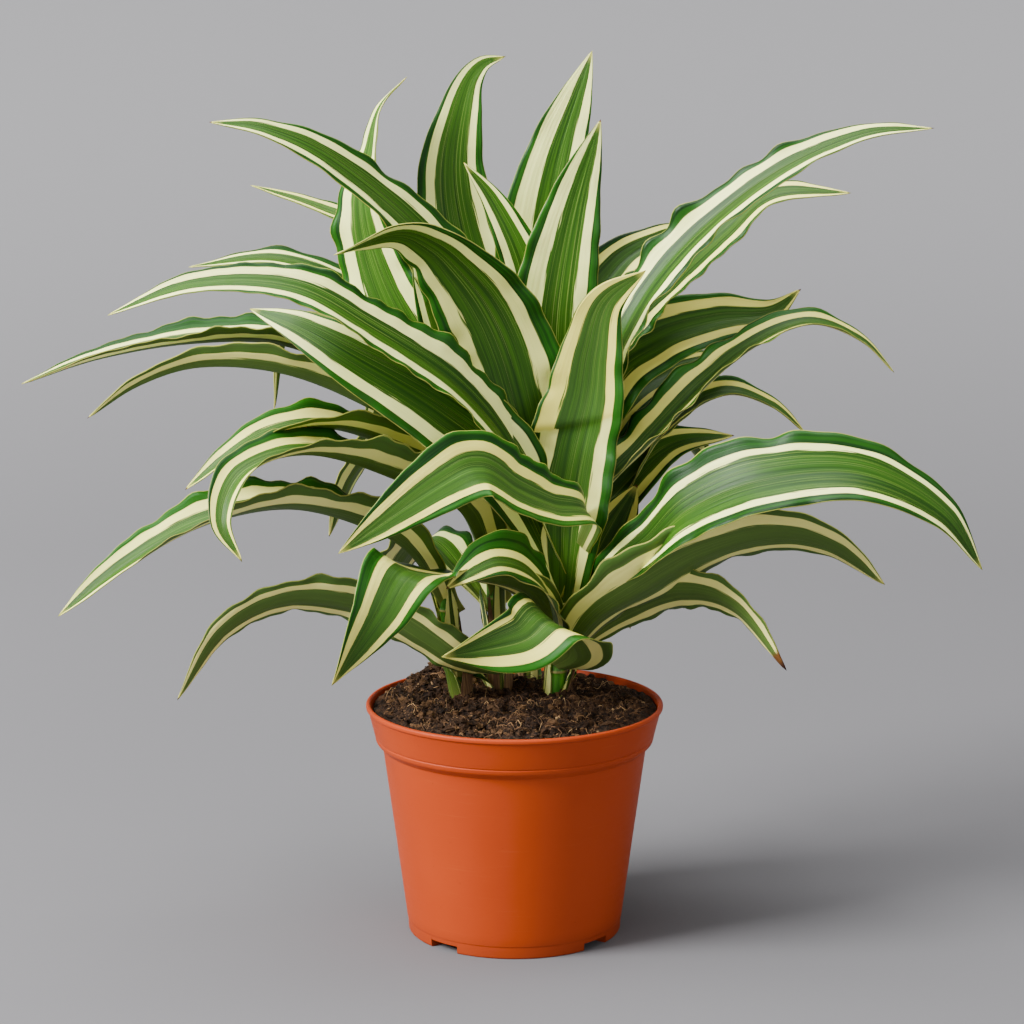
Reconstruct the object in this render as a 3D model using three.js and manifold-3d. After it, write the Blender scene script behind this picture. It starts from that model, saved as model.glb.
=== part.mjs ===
// A potted dracaena: arching cream-striped leaves on four short canes, in soil, in a plastic nursery pot.
// Millimetres. +Z is up, X runs to the right and Y away from the front; the pot stands on z = 0.
import * as THREE from 'three';
import { mergeVertices } from 'three/addons/utils/BufferGeometryUtils.js';
import Module from 'manifold-3d';

const wasm = await Module();
wasm.setup();

// ---------------------------------------------------------------- driving sizes, millimetres
const RIM_DIAMETER = 140; // a 14 cm nursery pot
const POT_HEIGHT = 110;
const COLLAR_HEIGHT = 17.7;
const COLLAR_BOTTOM_DIAMETER = 130.8;
const STEP_HEIGHT = 3; // the slope from the body out to the collar
const GROOVE_BELOW_RIM = 15.5;
const BODY_TOP_DIAMETER = 124.4;
const BODY_BOTTOM_DIAMETER = 102;
const FOOT_DIAMETER = 101;
const FOOT_LINE_HEIGHT = 6;
const WALL = 1.8;
const FLOOR_UNDERSIDE = 4;
const FLOOR_TOP = 6;
const CENTRE_PAD_RADIUS = 12; // the floor comes down to the table in the middle
const FOOT_RING_WIDTH = 6.5;
const NOTCH = { width: 16, height: 3.6, depth: 16, count: 4, first: 49 };
const DRAIN = { diameter: 8, ring: 32, count: 8 };
const POT_SIDES = 44;

const CLEARANCE = 0.3; // between neighbouring pieces
const SOIL_EDGE = 106.5; // height of the soil at the wall
const SOIL_MOUND = 3.5; // how much higher the middle is
const SOIL_LUMP = 1.7; // height of the clods
const HEAP = { x: -34, y: 40, height: 9, spread: 13 }; // soil piled up at the back left
const SOIL_SIDES = 34;

const CANE_FOOT = 60; // canes reach this deep into the soil
const CANE_SIDES = 10;
// Where each cane comes out of the soil (z = 100), its head, and its radius below and above.
const CANES = {
  front: { ground: [18, 12, 100], head: [27, 9, 182], thick: 6.5, thin: 5.5 },
  back: { ground: [8, 42, 100], head: [8, 36, 215], thick: 6.5, thin: 5.5 },
  mid: { ground: [-7, 24, 100], head: [-11, 20, 185], thick: 6, thin: 5 },
  left: { ground: [-24, 5, 100], head: [-33, 0, 160], thick: 5.5, thin: 4.5 },
};

const BLADE_THICKNESS = 0.8;
const STATION = 21; // spacing of the sections along a blade
const ROOT_WIDTH = 0.3; // width at the cane, as a share of the widest
const TAPER_POWER = 3.4; // how late the blade narrows to its tip
const WAVE = { height: 1.5, pitch: 60 }; // ruffle of the margins

// Leaves of each cane: height of the root on the cane, widest width, the share of the length where it is
// widest, facing (degrees from +X, or null for a leaf that lies along its own run), roll, twist towards the
// tip, fold of the V, and the midrib's points from just off the cane to the tip.
const LEAVES = {
  front: [
    [176, 42, 0.6, null, 20, 45, 0.25,
      [[33, -18, 204], [17, -36, 212], [2, -48, 221], [-15, -58, 233], [-34, -68, 227], [-78, -78, 197]]],
    [126, 42, 0.5, null, 45, 0, 0.25,
      [[17, -14, 160], [6, -28, 180], [-8, -38, 187], [-20, -46, 183], [-31, -50, 175]]],
    [136, 46, 0.56, -90, 8, 111, 0.25,
      [[4, -14, 167], [-39, -35, 178], [-51, -60, 184], [-62, -69, 166], [-82, -70, 135]]],
    [132, 60, 0.7, 100, -20, 75, 0.2,
      [[18, 10, 171], [12, 14, 197], [8, 14, 225], [2, 12, 252], [-5, 8, 277], [-14, 2, 297],
       [-26, -6, 314], [-38, -13, 326], [-54, -19, 332], [-82, -24, 323]]],
    [134, 46, 0.42, 80, 0, 0, 0.2,
      [[22, 2, 178], [23, 2, 204], [27, 4, 228], [33, 6, 253], [36, 4, 276], [42, 0, 299], [60, -10, 315]]],
    [165, 32, 0.42, null, 40, 0, 0.4,
      [[2, -6, 224], [-25, -24, 263], [-64, -36, 292], [-99, -40, 311], [-143, -42, 312],
       [-182, -42, 298]]],
    [158, 44, 0.42, null, 60, 0, 0.2,
      [[-3, -8, 221], [-33, -18, 251], [-73, -22, 276], [-98, -14, 289], [-122, 0, 296]]],
    [138, 46, 0.55, null, -50, 0, 0.3,
      [[45, -10, 173], [62, -24, 190], [79, -38, 210], [110, -52, 226], [153, -60, 230],
       [189, -62, 213], [209, -62, 186]]],
    [122, 46, 0.42, null, 48, 0, 0.35,
      [[36, -14, 152], [58, -24, 169], [85, -28, 186], [117, -28, 195], [145, -28, 190], [170, -28, 172]]],
    [126, 32, 0.42, null, 52, 0, 0.3, [[49, 0, 152], [77, -12, 165], [102, -22, 160], [125, -34, 133]]],
    [158, 34, 0.42, null, -15, 0, 0.6,
      [[40, 14, 204], [61, 22, 227], [87, 28, 254], [113, 32, 275], [139, 34, 285],
       [163, 34, 277], [180, 34, 261]]],
    [140, 34, 0.42, 90, 0, 0, 0.3, [[38, 16, 172], [46, 20, 188], [58, 22, 210]]],
    [165, 31, 0.42, null, -45, 0, 0.4,
      [[35, 20, 236], [51, 14, 284], [77, 14, 322], [117, 4, 357], [157, -4, 376], [190, -8, 379]]],
    [125, 46, 0.57, -45, 25, 120, 0.2,
      [[22, -7, 128], [30, -22, 138], [16, -50, 160], [2, -58, 153], [-33, -64, 147]]],
  ],
  back: [
    [186, 34, 0.42, 100, 0, 0, 0.2, [[5, 34, 215], [-21, 37, 255], [-37, 38, 291], [-48, 36, 323]]],
    [170, 22, 0.42, null, -30, 0, 0.8, [[-40, 50, 246], [-84, 60, 276], [-108, 62, 278], [-116, 58, 239]]],
    [182, 44, 0.42, null, -60, 0, 0.3,
      [[41, 46, 254], [67, 52, 275], [96, 56, 284], [122, 56, 287], [137, 54, 299]]],
    [172, 30, 0.42, null, -40, 0, 0.4, [[46, 50, 236], [75, 62, 257], [112, 70, 267]]],
    [160, 32, 0.42, null, -20, 0, 0.7,
      [[47, 42, 196], [70, 54, 229], [99, 60, 247], [123, 60, 242], [141, 58, 228]]],
    [154, 30, 0.42, null, -50, 0, 0.3, [[50, 40, 204], [75, 56, 223], [107, 66, 226]]],
    [194, 36, 0.42, null, -35, 0, 0.3,
      [[50, 50, 275], [76, 48, 304], [100, 44, 327], [122, 40, 345], [158, 36, 346]]],
    [204, 34, 0.42, null, -50, 0, 0.3, [[31, 56, 279], [48, 68, 307], [68, 76, 320], [92, 82, 328]]],
    [210, 48, 0.42, 90, 0, 0, 0.2, [[12, 48, 256], [12, 58, 307], [19, 66, 357], [37, 70, 411]]],
    [196, 45, 0.42, 90, 0, 0, 0.2, [[16, 32, 249], [19, 30, 296], [27, 30, 339], [40, 28, 381]]],
    [206, 28, 0.42, 90, 0, 0, 0.2, [[14, 42, 261], [5, 44, 309], [-9, 44, 340], [-24, 42, 360]]],
    [188, 48, 0.42, 90, 0, 0, 0.2,
      [[-5, 50, 251], [-22, 62, 307], [-30, 66, 350], [-25, 66, 386], [-17, 68, 403], [-4, 72, 408]]],
    [176, 48, 0.42, 100, 0, 110, 0.2,
      [[-26, 40, 238], [-52, 46, 278], [-66, 48, 309], [-72, 46, 340], [-68, 46, 365],
       [-63, 45, 385], [-50, 44, 400]]],
    [200, 36, 0.42, null, 50, 0, 0.25,
      [[-12, 24, 274], [-39, 14, 324], [-80, 0, 362], [-111, -8, 378], [-138, -12, 382]]],
    [192, 24, 0.42, null, 20, 0, 0.3, [[-31, 70, 272], [-65, 80, 320], [-94, 82, 335], [-128, 82, 346]]],
    [180, 32, 0.42, null, 20, 0, 0.4, [[-36, 56, 259], [-74, 60, 295], [-112, 60, 312], [-156, 56, 309]]],
    [184, 36, 0.42, null, 0, 0, 0.4, [[10, 70, 250], [14, 115, 285], [18, 160, 265], [22, 190, 215]]],
    [174, 36, 0.42, null, 0, 0, 0.4, [[-14, 65, 235], [-38, 98, 258], [-62, 130, 240], [-78, 150, 200]]],
    [164, 34, 0.42, null, 0, 0, 0.4, [[36, 56, 215], [70, 80, 228], [96, 96, 205], [110, 108, 170]]],
    [166, 34, 0.42, null, 0, 0, 0.4, [[-26, 60, 210], [-56, 84, 224], [-80, 104, 200], [-94, 118, 165]]],
    [150, 34, 0.42, null, 0, 0, 0.4, [[2, 62, 165], [-4, 100, 180], [-8, 140, 155], [-10, 165, 112]]],
    [144, 34, 0.42, null, 0, 0, 0.4, [[24, 60, 160], [38, 92, 170], [52, 122, 148], [60, 140, 112]]],
  ],
  mid: [
    [172, 34, 0.42, null, 10, 0, 1,
      [[-35, 12, 233], [-77, 14, 263], [-109, 12, 278], [-150, 8, 279], [-191, 0, 273], [-227, -8, 262]]],
    [168, 34, 0.42, null, -20, 0, 1,
      [[-30, 10, 225], [-72, 8, 251], [-108, 2, 266], [-145, 0, 269], [-173, -4, 261], [-197, -8, 246]]],
    [160, 34, 0.42, null, -20, 50, 1,
      [[-23, 11, 207], [-53, 0, 229], [-85, -16, 243], [-116, -28, 240], [-150, -32, 217]]],
    [150, 36, 0.42, null, -15, 60, 1,
      [[-23, 0, 199], [-57, -19, 221], [-92, -40, 235], [-120, -58, 230], [-129, -72, 211],
       [-120, -78, 193]]],
    [119, 28, 0.42, null, -48, 0, 0.35,
      [[-10, -4, 125], [-26, -20, 134], [-42, -25, 146], [-66, -30, 161], [-102, -36, 167],
       [-132, -42, 154], [-154, -46, 122]]],
    [145, 34, 0.42, null, 0, 0, 0.4, [[-26, 46, 162], [-44, 74, 172], [-60, 98, 150], [-68, 112, 118]]],
  ],
  left: [
    [150, 34, 0.42, null, -20, 60, 1,
      [[-46, -8, 180], [-66, -17, 196], [-102, -34, 209], [-142, -46, 203], [-178, -52, 184],
       [-206, -54, 163]]],
    [140, 14, 0.42, null, 0, 0, 0.4, [[-38, 6, 166], [-44, 8, 180], [-55, 10, 186]]],
    [117, 26, 0.42, null, 20, 0, 0.5, [[-32, 3, 128], [-43, 2, 143], [-56, 2, 152]]],
  ],
};

const COLOURS = { pot: 0xc65a33, soil: 0x3a2b22, leafyStem: 0x5f8148 };

// ---------------------------------------------------------------- solids and meshes
function closedSolid(geometry) {
  const bare = geometry.clone();
  bare.deleteAttribute('normal');
  bare.deleteAttribute('uv');
  const merged = mergeVertices(bare, 1e-4);
  return new wasm.Manifold(new wasm.Mesh({
    numProp: 3,
    vertProperties: new Float32Array(merged.attributes.position.array),
    triVerts: new Uint32Array(merged.index.array),
  }));
}

// The largest connected skin of a solid: a hollow sealed in by joining is filled, a loose scrap dropped.
function outerSkin(solid) {
  const mesh = solid.getMesh();
  const position = [];
  for (let v = 0; v < mesh.vertProperties.length / mesh.numProp; v++) {
    position.push(...mesh.vertProperties.slice(v * mesh.numProp, v * mesh.numProp + 3));
  }
  const point = new THREE.BufferGeometry();
  point.setAttribute('position', new THREE.Float32BufferAttribute(position, 3));
  point.setIndex(Array.from(mesh.triVerts));
  const index = point.index.array;
  const owner = Array.from({ length: position.length / 3 }, (_, v) => v);
  const find = (v) => {
    while (owner[v] !== v) { owner[v] = owner[owner[v]]; v = owner[v]; }
    return v;
  };
  for (let t = 0; t < index.length; t += 3) {
    owner[find(index[t])] = find(index[t + 1]);
    owner[find(index[t + 1])] = find(index[t + 2]);
  }
  const skins = new Map();
  const [a, b, c] = [new THREE.Vector3(), new THREE.Vector3(), new THREE.Vector3()];
  for (let t = 0; t < index.length; t += 3) {
    const key = find(index[t]);
    const skin = skins.get(key) ?? { volume: 0, faces: [] };
    a.fromArray(position, 3 * index[t]);
    b.fromArray(position, 3 * index[t + 1]);
    c.fromArray(position, 3 * index[t + 2]);
    skin.volume += a.dot(b.cross(c)) / 6;
    skin.faces.push(index[t], index[t + 1], index[t + 2]);
    skins.set(key, skin);
  }
  const largest = [...skins.values()].sort((p, q) => q.volume - p.volume)[0];
  point.setIndex(largest.faces);
  point.computeVertexNormals();
  return point;
}

function namedMesh(name, geometry, colour, roughness) {
  const material = new THREE.MeshStandardMaterial({ color: colour, roughness, metalness: 0 });
  const mesh = new THREE.Mesh(geometry, material);
  mesh.name = name;
  return mesh;
}

function turned(profile, sides) {
  const points = profile.map(([r, z]) => new THREE.Vector2(r, z));
  return new THREE.LatheGeometry(points, sides).rotateX(Math.PI / 2);
}

// ---------------------------------------------------------------- pot
const COLLAR_Z = POT_HEIGHT - COLLAR_HEIGHT;
const STEP_Z = COLLAR_Z - STEP_HEIGHT;
// The inside of the wall from the floor up: radius and height.
const INSIDE = [
  [BODY_BOTTOM_DIAMETER / 2 - WALL, FLOOR_TOP], [BODY_TOP_DIAMETER / 2 - WALL, STEP_Z + 0.8],
  [COLLAR_BOTTOM_DIAMETER / 2 - WALL, COLLAR_Z + 0.8], [RIM_DIAMETER / 2 - 2.3, POT_HEIGHT - 0.8],
];

function pot() {
  const rim = RIM_DIAMETER / 2;
  const collar = COLLAR_BOTTOM_DIAMETER / 2;
  const body = BODY_TOP_DIAMETER / 2;
  const bottom = BODY_BOTTOM_DIAMETER / 2;
  const foot = FOOT_DIAMETER / 2;
  const grooveZ = POT_HEIGHT - GROOVE_BELOW_RIM;
  const collarAt = (z) => collar + (rim - 0.9 - collar) * (z - COLLAR_Z) / (COLLAR_HEIGHT - 3);
  let solid = closedSolid(turned([
    [0, 0], [CENTRE_PAD_RADIUS, 0], [CENTRE_PAD_RADIUS + 1, FLOOR_UNDERSIDE],
    [foot - FOOT_RING_WIDTH, FLOOR_UNDERSIDE], [foot - FOOT_RING_WIDTH + 1, 0], [foot - 0.4, 0], [foot, 0.5],
    [bottom - 0.3, FOOT_LINE_HEIGHT - 0.4], [bottom, FOOT_LINE_HEIGHT],
    [body, STEP_Z], [collar - 0.4, COLLAR_Z - 0.4], [collar, COLLAR_Z + 0.2],
    [collarAt(grooveZ - 0.5), grooveZ - 0.5], [collarAt(grooveZ) - 0.5, grooveZ],
    [collarAt(grooveZ + 0.5), grooveZ + 0.5],
    [collarAt(POT_HEIGHT - 3), POT_HEIGHT - 3], [rim, POT_HEIGHT - 2], [rim, POT_HEIGHT - 0.7],
    [rim - 0.7, POT_HEIGHT], [rim - 1.6, POT_HEIGHT], ...[...INSIDE].reverse(), [0, FLOOR_TOP],
  ], POT_SIDES));
  for (let i = 0; i < NOTCH.count; i++) {
    const turn = THREE.MathUtils.degToRad(NOTCH.first + (360 * i) / NOTCH.count);
    const notch = new THREE.BoxGeometry(NOTCH.depth, NOTCH.width, 2 * NOTCH.height);
    solid = solid.subtract(closedSolid(notch.translate(foot, 0, 0).rotateZ(turn)));
  }
  for (let i = 0; i < DRAIN.count; i++) {
    const turn = (2 * Math.PI * i) / DRAIN.count;
    const drain = new THREE.CylinderGeometry(DRAIN.diameter / 2, DRAIN.diameter / 2, 4 * FLOOR_TOP, 12);
    solid = solid.subtract(closedSolid(drain.rotateX(Math.PI / 2).translate(DRAIN.ring, 0, 0).rotateZ(turn)));
  }
  return outerSkin(solid);
}

// ---------------------------------------------------------------- canes
function caneAxis({ ground, head }) {
  const low = new THREE.Vector3(...ground);
  const rise = new THREE.Vector3(...head).sub(low);
  return (z) => low.clone().addScaledVector(rise, (z - ground[2]) / rise.z);
}

// A round column about the cane's axis, its radius given at heights from the foot.
function column(cane, profile) {
  const at = caneAxis(cane);
  const foot = at(profile[0][1]);
  const lean = new THREE.Quaternion().setFromUnitVectors(
    new THREE.Vector3(0, 0, 1), at(200).sub(at(100)).normalize());
  const steps = profile.map(([r, z]) => [r, z - profile[0][1]]);
  return turned([[0, 0], ...steps, [0, steps.at(-1)[1]]], CANE_SIDES).applyQuaternion(lean)
    .translate(foot.x, foot.y, foot.z);
}

function caneProfile({ head, thick, thin }) {
  const profile = [[thick, CANE_FOOT]];
  const joints = 7;
  for (let i = 0; i <= joints; i++) {
    const z = 112 + ((head[2] - 108) * i) / joints;
    const r = thick + ((thin - thick) * i) / joints;
    profile.push([r + (i % 2 ? 0.5 : 0), z]); // slightly swollen at every other leaf scar
  }
  profile.push([thin * 0.5, head[2] + 7]);
  return profile;
}

// ---------------------------------------------------------------- leaves
const UP = new THREE.Vector3(0, 0, 1);
const smooth = (t) => t * t * (3 - 2 * t);

// A blade folded in a V along a curved midrib, its margins ruffled, closed all round.
function blade(cane, [rootZ, wide, fullAt, facing, roll, twist, fold, points]) {
  const root = caneAxis(cane)(rootZ);
  const way = [root, ...points.map((p) => new THREE.Vector3(...p))];
  const midrib = new THREE.CatmullRomCurve3(way, false, 'catmullrom', 0.5);
  const length = midrib.getLength();
  const steps = THREE.MathUtils.clamp(Math.round(length / STATION), 5, 14);
  const stations = [...Array(steps).keys()].map((i) => i / steps).concat(0.975, 1);

  const heading = way.at(-1).clone().sub(root).setZ(0).normalize();
  if (facing !== null) {
    heading.set(Math.cos(THREE.MathUtils.degToRad(facing)), Math.sin(THREE.MathUtils.degToRad(facing)), 0);
  }
  const across = new THREE.Vector3().crossVectors(heading, UP);
  const vertices = [];
  let last = 0;
  for (const s of stations) {
    for (let k = 1; k <= 4; k++) { // carry the width direction along without spinning it
      const along = midrib.getTangentAt(last + ((s - last) * k) / 4);
      across.addScaledVector(along, -across.dot(along)).normalize();
    }
    last = s;
    const centre = midrib.getPointAt(s);
    const normal = new THREE.Vector3().crossVectors(across, midrib.getTangentAt(s));
    const turn = THREE.MathUtils.degToRad(roll + twist * s * s);
    const w = across.clone().multiplyScalar(Math.cos(turn)).addScaledVector(normal, Math.sin(turn));
    const n = normal.clone().multiplyScalar(Math.cos(turn)).addScaledVector(across, -Math.sin(turn));
    if (s === 1) {
      vertices.push(...centre.toArray());
      break;
    }
    const share = ROOT_WIDTH + (1 - ROOT_WIDTH) * smooth(Math.min(s / fullAt, 1));
    const fullness = share * (1 - s ** TAPER_POWER);
    const half = (wide / 2) * fullness;
    const cup = fold * (1 - 0.5 * s) + 0.5 * Math.exp(-s / 0.1);
    const rise = (side) => {
      const ruffle = Math.sin(2 * Math.PI * ((length / WAVE.pitch) * s + (side < 0 ? 0.3 : 0)));
      return Math.abs(side) * (half * cup + WAVE.height * fullness * ruffle);
    };
    const thick = (BLADE_THICKNESS / 2) * Math.sqrt(1 + cup * cup);
    for (const [side, face] of [[-1, 1], [0, 1], [1, 1], [1, -1], [0, -1], [-1, -1]]) {
      const lift = rise(side) + face * thick;
      vertices.push(...centre.clone().addScaledVector(w, half * side).addScaledVector(n, lift).toArray());
    }
  }

  const faces = [0, 5, 4, 0, 4, 1, 1, 4, 3, 1, 3, 2];
  const rings = steps + 1;
  for (let i = 0; i < rings - 1; i++) {
    for (let j = 0; j < 6; j++) {
      const [a, b] = [6 * i + j, 6 * i + ((j + 1) % 6)];
      const [c, d] = [a + 6, b + 6];
      // both faces split along the same diagonals
      faces.push(...(j === 3 || j === 4 ? [a, b, c, b, d, c] : [a, b, d, a, d, c]));
    }
  }
  const tip = 6 * rings;
  for (let j = 0; j < 6; j++) faces.push(tip - 6 + j, tip - 6 + ((j + 1) % 6), tip);
  const geometry = new THREE.BufferGeometry();
  geometry.setAttribute('position', new THREE.Float32BufferAttribute(vertices, 3));
  geometry.setIndex(faces);
  return geometry;
}

function leafyStem(name) {
  const cane = CANES[name];
  let solid = closedSolid(column(cane, caneProfile(cane)));
  for (const leaf of LEAVES[name]) solid = solid.add(closedSolid(blade(cane, leaf)));
  return outerSkin(solid);
}

// ---------------------------------------------------------------- soil
// Clods: two crossed swells of different grain, the finer one broken up by the coarser.
function lumps(x, y) {
  const coarse = Math.sin(0.23 * x + 1.3 * Math.sin(0.11 * y)) * Math.cos(0.19 * y - 0.7);
  const fine = Math.sin(0.61 * x - 0.27 * y + 2 * coarse) * Math.sin(0.53 * y + 0.31 * x + 1);
  return 0.5 * coarse + 0.5 * fine;
}

function soil() {
  const [floor, step, collar, lip] = INSIDE;
  const share = (SOIL_EDGE - collar[1]) / (lip[1] - collar[1]);
  const edge = collar[0] + (lip[0] - collar[0]) * share - CLEARANCE;
  const topRings = [...Array(11).keys()].map((i) => edge * (1 - i / 11));
  const surface = topRings.map((r) => [r, SOIL_EDGE + SOIL_MOUND * (1 - (r / edge) ** 2)]);
  const geometry = turned([
    [0, floor[1] + CLEARANCE], [floor[0] - CLEARANCE, floor[1] + CLEARANCE],
    [step[0] - CLEARANCE, step[1] + 0.1], [collar[0] - CLEARANCE, collar[1] + 0.2],
    ...surface, [0, SOIL_EDGE + SOIL_MOUND],
  ], SOIL_SIDES);
  const p = geometry.attributes.position;
  for (let i = 0; i < p.count; i++) {
    const [x, y] = [p.getX(i), p.getY(i)];
    if (p.getZ(i) < SOIL_EDGE - 0.5) continue;
    const calm = THREE.MathUtils.clamp((edge + 4 - Math.hypot(x, y)) / 14, 0, 1);
    const away = Math.hypot(x - HEAP.x, y - HEAP.y) / HEAP.spread;
    p.setZ(i, p.getZ(i) + calm * (SOIL_LUMP * lumps(x, y) + HEAP.height * Math.exp(-away * away / 2)));
  }
  let solid = closedSolid(geometry);
  for (const cane of Object.values(CANES)) {
    const r = cane.thick + CLEARANCE + 0.1;
    solid = solid.subtract(closedSolid(column(cane, [[r, CANE_FOOT - CLEARANCE], [r, 125]])));
  }
  return outerSkin(solid);
}

const group = new THREE.Group();
group.name = 'potted_dracaena';
group.add(namedMesh('pot', pot(), COLOURS.pot, 0.42));
group.add(namedMesh('soil', soil(), COLOURS.soil, 0.95));
for (const name of Object.keys(CANES)) {
  group.add(namedMesh(`leafy_stem_${name}`, leafyStem(name), COLOURS.leafyStem, 0.45));
}

export default group;
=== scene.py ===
# %% [markdown]
# # A potted dracaena
# The object is a house plant about 44 cm wide: some forty-five strap-shaped leaves, green with cream stripes,
# on four short canes that stand in a terracotta-coloured nursery pot. A plain solid model of it is loaded
# first and fixes every size. This lesson then dresses that model: each leaf, cane, clod of soil and the pot
# is made again as a finer surface in the same place. Everything is measured in millimetres until the last
# moment, because that is how a gardener would measure it, and turned into Blender's metres when a mesh is
# made.

import bpy
import numpy as np
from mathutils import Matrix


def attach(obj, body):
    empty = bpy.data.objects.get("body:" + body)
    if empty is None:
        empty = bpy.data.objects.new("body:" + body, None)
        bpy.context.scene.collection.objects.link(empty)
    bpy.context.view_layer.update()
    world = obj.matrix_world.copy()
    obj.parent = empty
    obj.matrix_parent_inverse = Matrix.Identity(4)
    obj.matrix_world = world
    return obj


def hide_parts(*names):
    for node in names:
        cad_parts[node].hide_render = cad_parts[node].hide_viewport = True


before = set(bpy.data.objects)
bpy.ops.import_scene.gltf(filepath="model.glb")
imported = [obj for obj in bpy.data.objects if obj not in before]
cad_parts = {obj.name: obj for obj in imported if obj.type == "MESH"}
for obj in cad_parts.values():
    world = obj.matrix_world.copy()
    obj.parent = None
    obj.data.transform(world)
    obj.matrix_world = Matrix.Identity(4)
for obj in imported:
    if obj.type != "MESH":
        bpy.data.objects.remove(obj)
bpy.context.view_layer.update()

# %% [markdown]
# ## From arrays to a mesh
# Nearly every piece here is a tube in disguise. A cane is one, a leaf is a very flat one, and the pot is one
# that is bent back through its own inside. A tube is a stack of rings with the same number of corners, so its
# faces always follow the same rule, and only the places of the corners change from piece to piece. Writing
# the rule once, for whole arrays, keeps the seams and the ends closed everywhere.

# %% Faces of a tube
def skin(rings, start, end):
    """Corners and faces of closed tubes, from rings (tube, ring, corner, xyz) and a point closing each end.

    Corner j of ring i is joined with corner j + 1 and with ring i + 1 in a square, and each end ring fans
    out from its closing point. Many equal tubes are made at once by adding the same faces further on."""
    count, r, k = rings.shape[:3]
    here = np.arange(r * k).reshape(r, k)
    after = np.roll(here, -1, axis=1)
    squares = np.stack([here[:-1], after[:-1], after[1:], here[1:]], -1).reshape(-1, 4)
    first = np.stack([after[0], here[0], np.full(k, r * k)], -1)
    last = np.stack([here[-1], after[-1], np.full(k, r * k + 1)], -1)
    points = np.concatenate([rings.reshape(count, r * k, 3), start[:, None], end[:, None]], 1).reshape(-1, 3)
    shift = (np.arange(count) * (r * k + 2))[:, None, None]
    return points, [(squares + shift).reshape(-1, 4), (np.vstack([first, last]) + shift).reshape(-1, 3)]


def circle(corners):
    """Angles once round, without the last, which would be the first again."""
    return np.linspace(0, 2 * np.pi, corners + 1)[:-1]


def turned(r, angle, z):
    """Corners at radius r, angle and height z: (r cos, r sin, z)."""
    return np.stack(np.broadcast_arrays(r * np.cos(angle), r * np.sin(angle), z), -1)


# %% Arrays become an object
MILLIMETRE = 0.001


def shown(name, points, faces, material, smooth=True):
    """Makes the mesh in metres and puts it into the scene."""
    mesh = bpy.data.meshes.new(name)
    mesh.from_pydata((points * MILLIMETRE).tolist(), [], [corner for f in faces for corner in f.tolist()])
    mesh.polygons.foreach_set("use_smooth", np.full(len(mesh.polygons), smooth))
    mesh.materials.append(material)
    made = bpy.data.objects.new(name, mesh)
    bpy.context.scene.collection.objects.link(made)
    return made


def piece(name, surface, material, slot, *nodes, values=(), smooth=True):
    """A piece of the plant: right side out, with its own values at each corner, attached to the root body,
    while the plain parts that it replaces are hidden.

    The volume is a sixth of the sum, over triangles, of a . (b x c). If it is negative, all faces are
    turned over."""
    points, faces = surface
    corners = [np.concatenate([f[:, :3], f[:, [0, 2, 3]]]) if f.shape[1] == 4 else f for f in faces]
    a, b, c = (points[np.concatenate(corners)[:, i]] for i in range(3))
    if np.sum(a * np.cross(b, c)) < 0:
        faces = [f[:, ::-1] for f in faces]
    made = shown(name, points, faces, material, smooth)
    for label, value in dict(values).items():
        single = value.ndim == 1
        data = made.data.attributes.new(label, "FLOAT" if single else "FLOAT_VECTOR", "POINT").data
        data.foreach_set("value" if single else "vector", value.astype(np.float32).ravel())
    made.data.update()
    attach(made, "root")
    if nodes:
        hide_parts(*nodes)
    return made


# %% [markdown]
# ## Writing materials as formulas
# A stripe or a speck is easiest to think of as a formula: how far across the leaf am I, and is that inside
# the cream band? Blender wants such a formula as a web of nodes. A small class can stand between the two: it
# holds one socket, and adding or multiplying two of them adds the Math node that does it. Any other node is
# made by a single method, so the formulas below stay short enough to read.

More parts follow.
